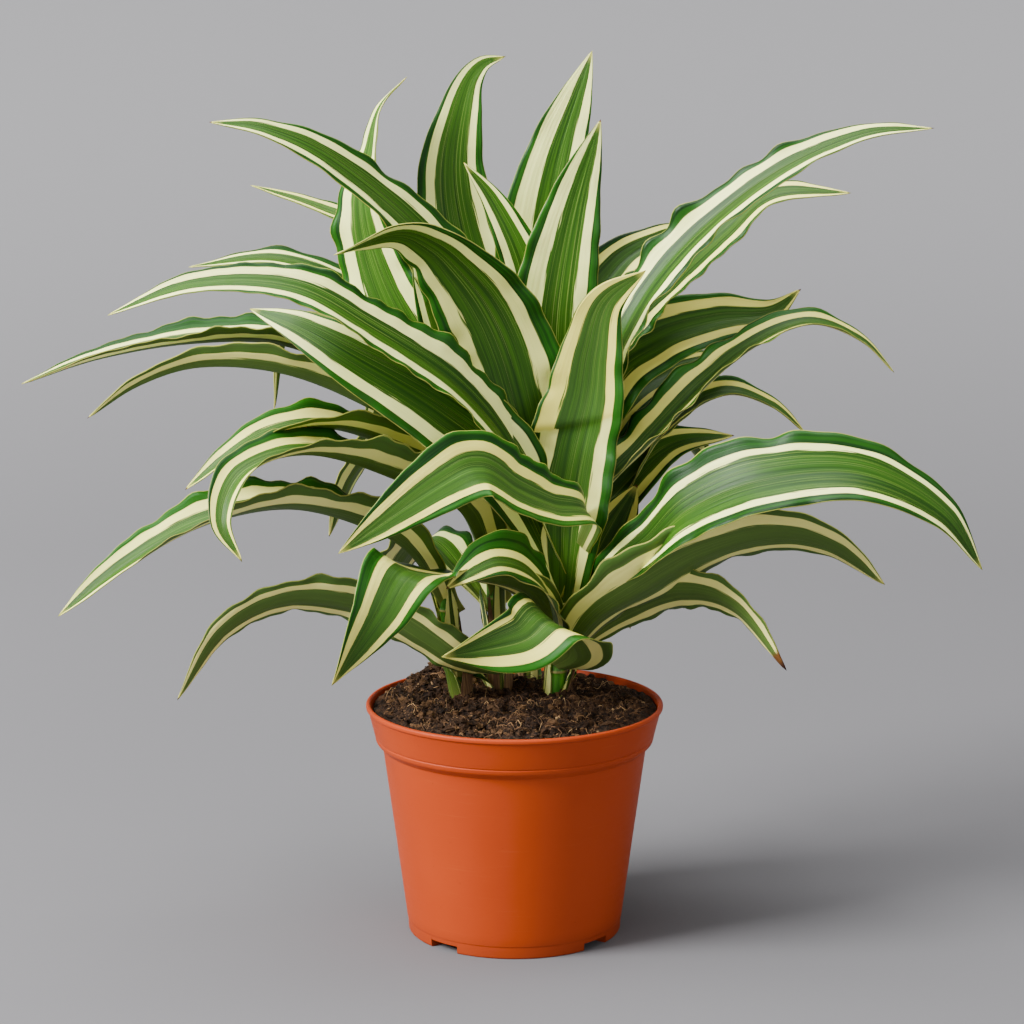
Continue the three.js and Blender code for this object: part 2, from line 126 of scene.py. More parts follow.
# %% A socket that can be calculated with
class Wire:
    """One output socket of a material. Operators add Math nodes; node() adds any other node."""

    def __init__(self, tree, socket=None):
        self.tree, self.socket = tree, socket

    def node(self, kind, settings=None, inputs=None, output=0):
        made = self.tree.nodes.new(kind)
        for key, value in (settings or {}).items():
            if key == "stops":
                for k, (place, colour) in enumerate(value):
                    stop = made.color_ramp.elements[k] if k < 2 else made.color_ramp.elements.new(place)
                    stop.position, stop.color = place, colour
            else:
                setattr(made, key, value)
        for key, value in (inputs or {}).items():
            if isinstance(value, Wire):
                self.tree.links.new(value.socket, made.inputs[key])
            else:
                made.inputs[key].default_value = value
        return Wire(self.tree, made.outputs[output])

    def math(self, operation, *values):
        return self.node("ShaderNodeMath", {"operation": operation}, dict(enumerate(values)))

    def __add__(self, other):
        return self.math("ADD", self, other)

    def __radd__(self, other):
        return self.math("ADD", other, self)

    def __sub__(self, other):
        return self.math("SUBTRACT", self, other)

    def __rsub__(self, other):
        return self.math("SUBTRACT", other, self)

    def __mul__(self, other):
        return self.math("MULTIPLY", self, other)

    def __rmul__(self, other):
        return self.math("MULTIPLY", other, self)

    def step(self, low, high):
        """0 below low, 1 above high, and an S-shaped rise between them."""
        settings = {"interpolation_type": "SMOOTHSTEP"}
        return self.node("ShaderNodeMapRange", settings, {0: self, 1: low, 2: high})

    def noise(self, stretch, detail=2.0, roughness=0.5):
        """Cloudy noise from 0 to 1, after each axis of this vector is multiplied by its stretch."""
        at = self.node("ShaderNodeVectorMath", {"operation": "MULTIPLY"}, {0: self, 1: stretch})
        inputs = {"Vector": at, "Scale": 1.0, "Detail": detail, "Roughness": roughness}
        return self.node("ShaderNodeTexNoise", {}, inputs)

    def mix(self, low, high, blend="MIX"):
        """The colour low where this mask is 0 and high where it is 1."""
        settings = {"data_type": "RGBA", "blend_type": blend}
        return self.node("ShaderNodeMix", settings, {0: self, 6: low, 7: high}, 2)

    def bump(self, distance, strength):
        """The surface tilted by this height; the distance is what a height of 1 means, in metres."""
        inputs = {"Height": self, "Distance": distance, "Strength": strength}
        return self.node("ShaderNodeBump", {}, inputs, "Normal")

    def carried(self, name, output="Fac"):
        """What the mesh carries at its corners under this name."""
        return self.node("ShaderNodeAttribute", {"attribute_name": name}, {}, output)

    def place(self):
        """Where a point lies in the piece's own coordinates, in metres."""
        return self.node("ShaderNodeTexCoord", {}, {}, "Object")


# %% Colours and new materials
def paint(red, green, blue):
    """A colour picked on a screen, 0 to 255, as the linear light that a shader wants.

    Light = ((c + 0.055) / 1.055) ^ 2.4, and c / 12.92 for the darkest shades."""
    c = np.array([red, green, blue]) / 255
    c = np.where(c > 0.04045, ((c + 0.055) / 1.055) ** 2.4, c / 12.92)
    return (*map(float, c), 1.0)


def coated(colour, *coats):
    """Each coat of paint is laid over the colour so far, where the coat's mask is 1."""
    for mask, coat in coats:
        colour = mask.mix(colour, paint(*coat))
    return colour


def finish(name, constants, recipe):
    """A new material: constants are set on its shader, and the recipe's wires feed the sockets they name."""
    material = bpy.data.materials.new(name)
    material.use_nodes = True
    shader = material.node_tree.nodes["Principled BSDF"]
    for key, value in constants.items():
        shader.inputs[key].default_value = value
    for key, wire in recipe(Wire(material.node_tree)).items():
        material.node_tree.links.new(wire.socket, shader.inputs[key])
    return material


print("mask check: white paint is", paint(255, 255, 255))

# %% [markdown]
# ## The camera
# The photograph looks at the plant from about one and a half metres, a little from above, so the rim of the
# pot shows as a narrow ellipse. A long lens keeps the leaves that come towards us from looking too big. The
# camera comes first, because it tells at once whether a leaf has grown in the right place.

# %% Place the camera
camera = bpy.data.objects.new("camera", bpy.data.cameras.new("camera"))
bpy.context.scene.collection.objects.link(camera)
camera.data.lens = 105.47
camera.data.sensor_width = 36.0
camera.location = (-0.0012, -1.372, 0.465)
camera.rotation_euler = (np.radians(79.1), 0.0, 0.0)
bpy.context.scene.camera = camera
print("camera stands at", tuple(camera.location))

# %% [markdown]
# ## The leaf's finish
# A dracaena leaf has a green middle, a cream band on each side of it, and a green margin outside that. Seen
# close, none of the borders is a clean line: the green runs into the cream in long fingers, because all the
# colour follows the parallel veins. An image could be wrapped on, but it would look the same on every leaf.
# Instead each leaf carries a few numbers at its corners: how far across and along it a point is, where its
# bands lie, and how old it is. The material reads those and grows its own stripes, from twenty to several
# hundred times as long as wide.

# %% Striped leaf material
def striped_leaf(w):
    """Colour = green middle, then cream where band_in < |across| < band_out, then the margin.

    Noise that is much finer across the leaf than along it moves each border and draws the veins."""
    blade, share = w.carried("blade", "Vector"), w.carried("share")
    fine = blade.noise((1.9, 0.014, 1.0), 3.0, 0.6)
    broad = blade.noise((0.42, 0.007, 1.3), 2.0, 0.5)
    fingers = blade.noise((1.1, 0.045, 1.7), 2.0, 0.55)
    wander = blade.noise((0.05, 0.03, 2.1), 1.0)

    middle = coated(
        broad.step(0.3, 0.7).mix(paint(29, 65, 9), paint(55, 98, 16)),
        (fine.step(0.52, 0.68) * 0.45, (86, 128, 34)),
        (blade.noise((3.4, 0.008, 2.9), 1.0).step(0.62, 0.69) * 0.45, (160, 182, 88)),
        (w.carried("old") * 0.3, (66, 92, 42)))
    margin = broad.step(0.35, 0.6).mix(paint(12, 54, 6), paint(30, 88, 8))
    green = (share - w.carried("band_out")).step(0.0, 0.01).mix(middle, margin)
    # Painted shade: the green of chosen leaves that catch much lamp light, and of the old leaf bases, is
    # multiplied darker by the number each carries.
    green = w.carried("deep").mix(green, paint(204, 214, 190), "MULTIPLY")
    # The lower face is mixed towards a paler, greyer green and a duller cream: partly its own duller colour,
    # partly painted light standing in for light bounced up from below.
    green = (w.carried("under") * 0.5).mix(green, paint(94, 116, 56))
    cream = coated((fine.step(0.56, 0.72) * 0.3).mix(paint(243, 248, 154), paint(208, 214, 112)),
                   (w.carried("old"), (236, 227, 108)), (w.carried("under") * 0.6, (236, 231, 148)))

    inner = share + (fingers - 0.5) * 0.2 + (wander - 0.5) * 0.12 - w.carried("band_in")
    outer = share + (fingers - 0.5) * 0.04 + (wander - 0.5) * 0.12 - w.carried("band_out")
    colour = coated(
        outer.step(-0.008, 0.01).mix(inner.step(-0.012, 0.016).mix(green, cream), green),
        (share.step(0.98, 0.992) * 0.5, (196, 190, 90)), (w.carried("pale"), (216, 208, 100)),
        ((w.carried("dry") + (fingers - 0.5) * 0.5).step(0.3, 0.55), (98, 62, 26)),
        ((w.carried("dry") + (fine - 0.5) * 0.3).step(0.75, 0.95), (46, 24, 14)))
    return {"Base Color": colour, "Roughness": 0.36 + 0.14 * fine + 0.12 * w.carried("under"),
            "Normal": (fine * 0.5 + broad + 0.6 * blade.noise((0.2, 0.12, 3.0), 2.0)).bump(0.0005, 0.45)}


leaf_green = finish("striped_leaf", {
    "Subsurface Weight": 0.08, "Subsurface Radius": (0.35, 0.6, 0.12), "Subsurface Scale": 0.0015,
    "IOR": 1.42, "Specular IOR Level": 0.24}, striped_leaf)
print("nodes in the leaf's finish:", len(leaf_green.node_tree.nodes))

# %% [markdown]
# ## Where the canes and leaves grow
# The four canes lean a little, and each leaf starts from the middle of its cane. For a leaf the numbers are
# those that a botanist could measure: where it starts, how wide it gets and where along its length, how much
# it is rolled, twisted and folded, and a few places that its midrib passes through. They are the same sizes
# as in the solid model, so each leaf lands inside its plain twin.

# %% Canes and leaves, in millimetres
CANES = {  # where it leaves the soil, its head, and its radius below and above
    "front": ((18, 12, 100), (27, 9, 182), 6.5, 5.5),
    "back": ((8, 42, 100), (8, 36, 215), 6.5, 5.5),
    "mid": ((-7, 24, 100), (-11, 20, 185), 6.0, 5.0),
    "left": ((-24, 5, 100), (-33, 0, 160), 5.5, 4.5),
}
# How single leaves may differ from a plain one: the share of the length where it is widest, its facing
# (degrees, or None for along its own run), how much more cream in the left or right band, how much wider the
# left or right margin, how old (yellower cream), how much painted shade darkens its green (for leaves that
# catch much lamp light), how strong the ruffle, the share of the length where the blade is creased, if it is,
# and millimetres of dry tip (a leaf without that draws its own, and none shows if it is negative).
PLAIN = {"full_at": 0.42, "facing": None, "left": 0, "right": 0, "rim_left": 0, "rim_right": 0, "old": 0,
         "deep": 0, "ruffle": 1, "crease": None}
# Each leaf: height of its root, width, roll, twist towards the tip, fold, the midrib's way points, and how it
# differs from a plain leaf.
LEAVES = {"front": [
    (176, 42, 20, 45, 0.25, [(33, -18, 204), (17, -36, 212), (2, -48, 221), (-15, -58, 233), (-34, -68, 227),
     (-78, -78, 197)], {"full_at": 0.6, "old": 0.9, "ruffle": 0.7, "rim_right": 0.1, "right": 0.1,
     "left": -0.06}),
    (126, 42, 45, 0, 0.25, [(17, -14, 160), (6, -28, 180), (-8, -38, 187), (-20, -46, 183), (-31, -50, 175)],
     {"full_at": 0.5, "old": 0.8, "rim_right": 0.4, "right": 0.4, "deep": 0.5}),
    (136, 46, 8, 111, 0.25, [(4, -14, 167), (-39, -35, 178), (-51, -60, 184), (-62, -69, 166),
     (-82, -70, 135)], {"full_at": 0.56, "facing": -90, "old": 0.8, "rim_right": 0.08, "right": 0.12,
     "left": -0.08, "ruffle": 0.6}),
    (132, 60, -20, 75, 0.2, [(18, 10, 171), (12, 14, 197), (8, 14, 225), (2, 12, 252), (-5, 8, 277),
     (-14, 2, 297), (-26, -6, 314), (-38, -13, 326), (-54, -19, 332), (-82, -24, 323)], {"full_at": 0.7,
     "facing": 100, "ruffle": 1.5, "left": -0.08, "old": 0.3, "rim_left": -0.06}),
    (134, 46, 0, 0, 0.2, [(22, 2, 178), (23, 2, 204), (27, 4, 228), (33, 6, 253), (36, 4, 276), (42, 0, 299),
     (60, -10, 315)], {"facing": 80, "left": 0.1, "crease": 0.56, "old": 0.35, "right": -0.06}),
    (165, 32, 40, 0, 0.4, [(2, -6, 224), (-25, -24, 263), (-64, -36, 292), (-99, -40, 311), (-143, -42, 312),
     (-182, -42, 298)], {"right": 0.08, "deep": 0.5}),
    (158, 44, 60, 0, 0.2, [(-3, -8, 221), (-33, -18, 251), (-73, -22, 276), (-98, -14, 289), (-122, 0, 296)],
     {"ruffle": 0.6, "right": -0.1, "rim_right": -0.08, "deep": 0.6, "left": 0.04}),
    (138, 46, -50, 0, 0.3, [(45, -10, 173), (62, -24, 190), (79, -38, 210), (110, -52, 226), (153, -60, 230),
     (189, -62, 213), (209, -62, 186)], {"full_at": 0.55, "left": -0.06, "right": -0.1, "rim_left": 0.03,
     "deep": 1.0}),
    (122, 46, 48, 0, 0.35, [(36, -14, 152), (58, -24, 169), (85, -28, 186), (117, -28, 195), (145, -28, 190),
     (170, -28, 172)], {"old": 0.9}),
    (126, 32, 52, 0, 0.3, [(49, 0, 152), (77, -12, 165), (102, -22, 160), (125, -34, 133)], {"dry": 18.0,
     "old": 0.9}),
    (158, 34, -15, 0, 0.6, [(40, 14, 204), (61, 22, 227), (87, 28, 254), (113, 32, 275), (139, 34, 285),
     (163, 34, 277), (180, 34, 261)], {"old": 0.8}),
    (140, 34, 0, 0, 0.3, [(38, 16, 172), (46, 20, 188), (58, 22, 210)], {"facing": 90, "old": 1.0,
     "dry": 3.0}),
    (165, 31, -45, 0, 0.4, [(35, 20, 236), (51, 14, 284), (77, 14, 322), (117, 4, 357), (157, -4, 376),
     (190, -8, 379)], {"ruffle": 1.7, "left": 0.1, "right": -0.1, "deep": 1.0}),
    (125, 46, 25, 120, 0.2, [(22, -7, 128), (30, -22, 138), (16, -50, 160), (2, -58, 153), (-33, -64, 147)],
     {"full_at": 0.57, "facing": -45, "old": 0.9, "ruffle": 0.5, "right": -0.16, "rim_right": -0.03,
     "left": 0.04}),
], "back": [
    (186, 34, 0, 0, 0.2, [(5, 34, 215), (-21, 37, 255), (-37, 38, 291), (-48, 36, 323)], {"facing": 100}),
    (170, 22, -30, 0, 0.8, [(-40, 50, 246), (-84, 60, 276), (-108, 62, 278), (-116, 58, 239)], {"old": 0.4}),
    (182, 44, -60, 0, 0.3, [(41, 46, 254), (67, 52, 275), (96, 56, 284), (122, 56, 287), (137, 54, 299)],
     {"old": 0.9}),
    (172, 30, -40, 0, 0.4, [(46, 50, 236), (75, 62, 257), (112, 70, 267)], {"old": 0.9}),
    (160, 32, -20, 0, 0.7, [(47, 42, 196), (70, 54, 229), (99, 60, 247), (123, 60, 242), (141, 58, 228)],
     {"old": 0.9}),
    (154, 30, -50, 0, 0.3, [(50, 40, 204), (75, 56, 223), (107, 66, 226)], {"old": 0.8}),
    (194, 36, -35, 0, 0.3, [(50, 50, 275), (76, 48, 304), (100, 44, 327), (122, 40, 345), (158, 36, 346)],
     {"old": 0.6, "ruffle": 1.5, "deep": 1.0}),
    (204, 34, -50, 0, 0.3, [(31, 56, 279), (48, 68, 307), (68, 76, 320), (92, 82, 328)], {"old": 0.7,
     "ruffle": 1.3, "deep": 1.0}),
    (210, 48, 0, 0, 0.2, [(12, 48, 256), (12, 58, 307), (19, 66, 357), (37, 70, 411)], {"facing": 90,
     "left": 0.2}),
    (196, 45, 0, 0, 0.2, [(16, 32, 249), (19, 30, 296), (27, 30, 339), (40, 28, 381)], {"facing": 90,
     "left": 0.16}),
    (206, 28, 0, 0, 0.2, [(14, 42, 261), (5, 44, 309), (-9, 44, 340), (-24, 42, 360)], {"facing": 90}),
    (188, 48, 0, 0, 0.2, [(-5, 50, 251), (-22, 62, 307), (-30, 66, 350), (-25, 66, 386), (-17, 68, 403),
     (-4, 72, 408)], {"facing": 90}),
    (176, 48, 0, 110, 0.2, [(-26, 40, 238), (-52, 46, 278), (-66, 48, 309), (-72, 46, 340), (-68, 46, 365),
     (-63, 45, 385), (-50, 44, 400)], {"facing": 100, "ruffle": 1.4}),
    (200, 36, 50, 0, 0.25, [(-12, 24, 274), (-39, 14, 324), (-80, 0, 362), (-111, -8, 378), (-138, -12, 382)],
     {"deep": 0.5}),
    (192, 24, 20, 0, 0.3, [(-31, 70, 272), (-65, 80, 320), (-94, 82, 335), (-128, 82, 346)], {"old": 0.6}),
    (180, 32, 20, 0, 0.4, [(-36, 56, 259), (-74, 60, 295), (-112, 60, 312), (-156, 56, 309)], {"ruffle": 1.5,
     "rim_right": 0.1, "right": -0.02, "deep": 0.8}),
    (184, 36, 0, 0, 0.4, [(10, 70, 250), (14, 115, 285), (18, 160, 265), (22, 190, 215)], {}),
    (174, 36, 0, 0, 0.4, [(-14, 65, 235), (-38, 98, 258), (-62, 130, 240), (-78, 150, 200)], {}),
    (164, 34, 0, 0, 0.4, [(36, 56, 215), (70, 80, 228), (96, 96, 205), (110, 108, 170)], {}),
    (166, 34, 0, 0, 0.4, [(-26, 60, 210), (-56, 84, 224), (-80, 104, 200), (-94, 118, 165)], {}),
    (150, 34, 0, 0, 0.4, [(2, 62, 165), (-4, 100, 180), (-8, 140, 155), (-10, 165, 112)], {}),
    (144, 34, 0, 0, 0.4, [(24, 60, 160), (38, 92, 170), (52, 122, 148), (60, 140, 112)], {}),
], "mid": [
    (172, 34, 10, 0, 1, [(-35, 12, 233), (-77, 14, 263), (-109, 12, 278), (-150, 8, 279), (-191, 0, 273),
     (-227, -8, 262)], {"rim_right": 0.06, "deep": 0.7}),
    (168, 34, -20, 0, 1, [(-30, 10, 225), (-72, 8, 251), (-108, 2, 266), (-145, 0, 269), (-173, -4, 261),
     (-197, -8, 246)], {"old": 0.7}),
    (160, 34, -20, 50, 1, [(-23, 11, 207), (-53, 0, 229), (-85, -16, 243), (-116, -28, 240),
     (-150, -32, 217)], {"old": 0.6}),
    (150, 36, -15, 60, 1, [(-23, 0, 199), (-57, -19, 221), (-92, -40, 235), (-120, -58, 230),
     (-129, -72, 211), (-120, -78, 193)], {"old": 0.7}),
    (119, 28, -48, 0, 0.35, [(-10, -4, 125), (-26, -20, 134), (-42, -25, 146), (-66, -30, 161),
     (-102, -36, 167), (-132, -42, 154), (-154, -46, 122)], {"dry": 2.5, "old": 0.8}),
    (145, 34, 0, 0, 0.4, [(-26, 46, 162), (-44, 74, 172), (-60, 98, 150), (-68, 112, 118)], {}),
], "left": [
    (150, 34, -20, 60, 1, [(-46, -8, 180), (-66, -17, 196), (-102, -34, 209), (-142, -46, 203),
     (-178, -52, 184), (-206, -54, 163)], {"old": 0.5, "deep": 0.4}),
    (140, 14, 0, 0, 0.4, [(-38, 6, 166), (-44, 8, 180), (-55, 10, 186)], {}),
    (117, 26, 20, 0, 0.5, [(-32, 3, 128), (-43, 2, 143), (-56, 2, 152)], {"deep": 1.0, "left": -0.2,
     "right": -0.24}),
]}
print({stem: len(rows) for stem, rows in LEAVES.items()}, "leaves")


def cane_at(stem, z):
    """The point of a cane's axis at height z: ground + (head - ground) * (z - ground height) / rise."""
    ground, head = (np.array(p, float) for p in CANES[stem][:2])
    return ground + (head - ground) * (np.asarray(z, float)[..., None] - ground[2]) / (head[2] - ground[2])


def cane_radius(stem, z):
    """Thins in a straight line from the soil up to the head."""
    ground, head, thick, thin = CANES[stem]
    return thick + (thin - thick) * np.clip((z - ground[2]) / (head[2] - ground[2]), 0, 1)


# %% A smooth line through a few places
SAMPLES = 120


def distance_run(line):
    """How far along the line each of its points lies."""
    return np.concatenate([[0], np.cumsum(np.linalg.norm(np.diff(line, axis=0), axis=1))])


def smooth_line(way):
    """A Catmull-Rom curve: between two places the direction at each is half the step between its neighbours.

    Returns the points of the line and the distance run so far, from many samples between two places."""
    way = np.asarray(way, float)
    p = np.vstack([2 * way[0] - way[1], way, 2 * way[-1] - way[-2]])
    spans = len(way) - 1
    t = np.linspace(0, spans, spans * SAMPLES + 1)
    k = np.minimum(t.astype(int), spans - 1)
    f = (t - k)[:, None]
    a, b, c, d = p[k], p[k + 1], p[k + 2], p[k + 3]
    line = b + 0.5 * f * (c - a) + f**2 * (a - 2.5 * b + 2 * c - 0.5 * d)
    line += 0.5 * f**3 * (3 * b - a - 3 * c + d)
    return line, distance_run(line)


def carried_along(way, shares, heading):
    """Points, directions and the width direction at the given shares of a line's length.

    The width direction starts square to the heading and is only ever straightened against the line, from
    place to place, so it turns no more than the line itself does."""
    line, run = smooth_line(way)
    slope = np.gradient(line, run, axis=0)
    at = shares * run[-1]
    places = np.stack([np.interp(at, run, line[:, i]) for i in range(3)], -1)
    along = np.stack([np.interp(at, run, slope[:, i]) for i in range(3)], -1)
    along /= np.linalg.norm(along, axis=1)[:, None]
    across = np.empty_like(along)
    width = np.cross(heading, (0, 0, 1.0))
    for i, direction in enumerate(along):
        width = width - direction * (width @ direction)
        width /= np.linalg.norm(width)
        across[i] = width
    return places, along, across, run[-1]


# %% [markdown]
# ## Growing one leaf
# A leaf could be a flat plane that is bent by a curve modifier, but a real leaf is never a bent plane: it
# clasps the cane in a V, opens, and its margins have grown longer than its middle, so they ruffle. Each of
# these is a short formula of two numbers, how far along (0 to 1) and how far across (-1 to 1), so the whole
# leaf is one calculation on a grid. The lower face is the same sheet moved down by the leaf's thickness,
# which is greatest at the midrib and thins out to the margins and the tip.

# %% The leaf as a formula
def ease(t):
    t = np.clip(t, 0, 1)
    return t * t * (3 - 2 * t)


COLUMNS = 21  # places across a blade
ROOT_SHARE, TAPER = 0.3, 3.4  # width at the cane, as a share, and how late the blade narrows
SLOW_PITCH = 60  # millimetres from ruffle to ruffle
HALF_THICK, KEEL = 0.42, 0.5  # millimetres, at the midrib
TIP_AT = 0.9992  # just short of 1, which keeps a thick tip inside the solid model's box


def leaf_sheet(stem, row, seed, look):
    """Upper and lower face of a leaf, as grids (along, across, xyz), with what its finish reads.

    Width = wide * (0.3 rising to 1) * (1 - s^3.4). Lift of a point across = fold * |u| of the half width,
    plus a slow ruffle that grows with |u|^3 and a fast one with |u|^4. The sheet is turned by
    roll + twist * s^2."""
    root_z, wide, roll, twist, fold, points = row[:-1]
    rng = np.random.default_rng(seed)
    way = np.vstack([cane_at(stem, root_z), points])
    heading = (way[-1] - way[0]) * (1, 1, 0)
    if look["facing"] is not None:
        heading = turned(1, np.radians(look["facing"]), 0)
    spacing = 1.2 if look["crease"] else 2.3
    steps = int(np.clip(smooth_line(way)[1][-1] / spacing, 30, 180))
    s = np.append(np.arange(steps) / steps, 1.0) * TIP_AT
    places, along, across, length = carried_along(way, s, heading / np.linalg.norm(heading))
    up = np.cross(across, along)
    turn = np.radians(roll + twist * s**2)[:, None]
    w, n = across * np.cos(turn) + up * np.sin(turn), up * np.cos(turn) - across * np.sin(turn)

    u = np.linspace(-1, 1, COLUMNS)[None, :]
    s = s[:, None]
    fullness = (ROOT_SHARE + (1 - ROOT_SHARE) * ease(s / look["full_at"])) * (1 - s**TAPER)
    half = wide / 2 * fullness
    cup = fold * (1 - 0.5 * s) + 0.5 * np.exp(-s / 0.1)
    edge = np.abs(u)
    slow = np.sin(2 * np.pi * (length / SLOW_PITCH * s + 0.3 * (u < 0)))

    def ripple(low, high, shift):
        return np.sin(2 * np.pi * (length / rng.uniform(low, high) * s + rng.uniform(0, 1) + shift))

    fast = 0.7 * ripple(22, 34, 0.45 * (u < 0)) + 0.5 * ripple(12, 19, 0.2 * (u > 0))
    wave = look["ruffle"] * (0.45 + 0.55 * np.sin(np.pi * np.clip(s * 1.15, 0, 1)))
    lift = half * cup * (0.5 * edge + 0.5 * u**2)
    lift = lift + wave * fullness * (1.6 * edge**3 * slow + 1.8 * edge**4 * fast)
    if look["crease"] is not None:
        beyond = 1 / (1 + np.exp((look["crease"] + 0.05 * u - s) * length / 0.9))
        lift = lift + beyond * (2.4 - 1.2 * u) * np.exp((look["crease"] - s) * 5)
    half = half * (1 + wave * edge**2 * (0.03 * fast + 0.02 * slow))
    pleat = 0.12 * np.cos(2 * np.pi * (2.6 * u + rng.uniform(0, 1))) * fullness * (1 - edge**4)
    thick = np.minimum(HALF_THICK * (1 - 0.5 * u**2), 0.02 + 0.4 * half)
    keel = KEEL * np.exp(-((u * half / 1.3) ** 2)) * (1 - s) ** 1.5
    sheet = places[:, None] + w[:, None] * (half * u)[..., None]
    upper = sheet + n[:, None] * (lift + pleat + thick)[..., None]
    lower = sheet + n[:, None] * (lift + pleat - thick - keel)[..., None]
    return upper, lower, s, u, length, wide, rng


# %% The leaf's own numbers
BAND_IN, BAND_OUT = 0.46, 0.75  # where the cream lies on a plain leaf, as shares of the half width


def on_both_faces(upper, lower=None, ends=(0.0, 0.0)):
    """One number for each corner of a closed sheet: upper face, lower face backwards, then the two ends."""
    lower = upper if lower is None else lower
    return np.concatenate([np.concatenate([upper, lower[:, ::-1]], 1).ravel(), ends])


def closed_sheet(name, stem, outer, inner, top, material, numbers, across, along, offset):
    """Two faces joined round their edges: the foot closes in its own middle, the far end in the point top.

    Numbers, across and along hold what on_both_faces() takes. The last three become the vector "blade"."""
    ring = np.concatenate([outer, inner[:, ::-1]], 1)
    values = {label: on_both_faces(*grids) for label, grids in numbers.items()}
    across, along = on_both_faces(*across), on_both_faces(*along)
    values["blade"] = np.stack([across, along, np.full(len(along), offset)], -1)
    return piece(name, skin(ring[None], ring[0].mean(0)[None], top[None]), material, "leafy_stem",
                 f"leafy_stem_{stem}", values=values)


def leaf(stem, number, row):
    """One closed leaf, with its bands, age and dry tip worked out at every corner."""
    seed = sum(map(ord, stem)) * 100 + number
    look = {**PLAIN, **row[-1]}
    upper, lower, s, u, length, wide, rng = leaf_sheet(stem, row, seed, look)
    look = {"dry": rng.uniform(-3, 1.6), **look}
    tip = (upper[-1, COLUMNS // 2] + lower[-1, COLUMNS // 2]) / 2
    even = np.ones((len(s) - 1, COLUMNS))
    s, u = s[:-1] * even, u * even
    wander = rng.uniform(-0.035, 0.035, 4)
    band_in = BAND_IN + np.where(u < 0, wander[0] - look["left"], wander[1] - look["right"])
    band_in = band_in - 0.1 * np.exp(-s / 0.15) + 0.1 * ease((s - 0.8) / 0.2)
    band_out = BAND_OUT + np.where(u < 0, wander[2] - look["rim_left"], wander[3] - look["rim_right"])
    band_out = band_out + 0.17 * ease((s - 0.7) / 0.3)
    old = np.full_like(s, look["old"])
    if look["crease"] is not None:  # past its crease a leaf is older, and the left band lies further out
        beyond = s > look["crease"] + 0.05 * u
        shifted = beyond & (u < 0)
        band_in, band_out = band_in + 0.14 * shifted, band_out + 0.12 * shifted
        old = np.where(beyond, 1.0, old)
    dry = ease((s - 1) * length / np.maximum(look["dry"], 0.01) + 1)
    pale = 0.7 * ease((s - 1) * length / 7 + 1) + (0.5 - 0.45 * look["deep"]) * np.exp(-s * length / 9)
    numbers = {
        "share": (np.abs(u),), "under": (0 * even, even, (0.5, 0.5)), "old": (old, old, (0.5, 0.5)),
        "deep": (look["deep"] * even, None, (0.5, 0.5)), "band_in": (band_in, None, (0.4, 0.5)),
        "band_out": (band_out, None, (0.8, 1.06)), "dry": (dry, None, (0, look["dry"] > 0)),
        "pale": (pale, None, (0.6, 0.8))}
    return closed_sheet(f"leaf_{stem}_{number:02d}", stem, upper[:-1], lower[:-1], tip, leaf_green, numbers,
                        (u * wide / 2,), (s * length, None, (0, length)), seed % 97 * 1.7)


grown = [leaf(stem, k + 1, row) for stem, rows in LEAVES.items() for k, row in enumerate(rows)]
print(len(grown), "leaves with", sum(len(o.data.polygons) for o in grown), "faces")

# %% [markdown]
# ## The canes and the old leaf bases
# A young dracaena cane is smooth and bright green, with a faint ring where each fallen leaf was attached. It
# could be a plain cylinder, but a cylinder has no rings and no lean, so it is turned like a spindle along the
# cane's own axis. Round its foot stand the bases of older leaves, half-tubes of green and cream that hug the
# cane and end in a point. They use the leaf's finish, which only needs to know how far across and along a
# point is.

# %% Canes
def cane_skin(w):
    """Green, paler and browner in each ring, with veins stretched along the cane."""
    blade, ring = w.carried("blade", "Vector"), w.carried("ring")
    vein = blade.noise((1.6, 0.05, 1.0), 3.0, 0.6)
    cloud = blade.noise((0.3, 0.06, 2.0), 2.0)
    colour = coated(
        cloud.step(0.35, 0.65).mix(paint(40, 104, 10), paint(74, 142, 18)),
        (vein.step(0.52, 0.7) * 0.5, (120, 170, 56)),
        ((ring + (vein - 0.5) * 0.5).step(0.35, 0.8), (150, 142, 74)),
        ((ring + (vein - 0.5) * 0.6).step(0.85, 1.1), (96, 70, 34)))
    return {"Base Color": colour, "Roughness": 0.3 + 0.2 * vein + 0.2 * ring,
            "Normal": (vein + 0.6 * cloud).bump(0.0004, 0.5)}


CANE_FOOT, FIRST_SCAR, SCAR_STEP = 72, 111, 11.0  # heights, and the distance between leaf scars
BUD_RISE, BUD_WIDTH = np.array([0, 2, 3.6, 4.6]), (0.9, 0.68, 0.4, 0.15)


def cane(stem, material):
    """Radius = thinning line + a small swelling at each leaf scar; the top closes in a bud."""
    head_z, thick = CANES[stem][1][2], CANES[stem][2]
    rng = np.random.default_rng(ord(stem[0]))
    z = np.concatenate([np.linspace(CANE_FOOT, head_z - 2, 150), head_z + BUD_RISE])
    scars = np.arange(FIRST_SCAR, head_z, SCAR_STEP)
    scars = scars + rng.uniform(-2, 2, len(scars))
    ring = np.exp(-(((z[:, None] - scars) / 0.7) ** 2)).max(1)
    r = cane_radius(stem, z) - 1.6 + 0.45 * ring
    r[-len(BUD_WIDTH):] *= BUD_WIDTH
    angle = circle(32)
    axis = cane_at(stem, z)
    lobes = 1 + 0.04 * np.cos(2 * angle + rng.uniform(0, 6)) + 0.02 * np.cos(5 * angle)
    rings = axis[:, None] + r[:, None, None] * turned(lobes, angle, 0)
    surface = skin(rings[None], axis[:1], axis[-1:] + (0, 0, 0.3))
    around = np.concatenate([np.tile(angle * thick, len(z)), [0, 0]])
    up = np.concatenate([np.repeat(z, len(angle)), [z[0], z[-1]]])
    values = {"blade": np.stack([around, up, np.full(len(up), rng.uniform(0, 50))], -1),
              "ring": np.concatenate([np.repeat(ring, len(angle)), [0, 0]])}
    return piece(f"cane_{stem}", surface, material, "leafy_stem", f"leafy_stem_{stem}", values=values)


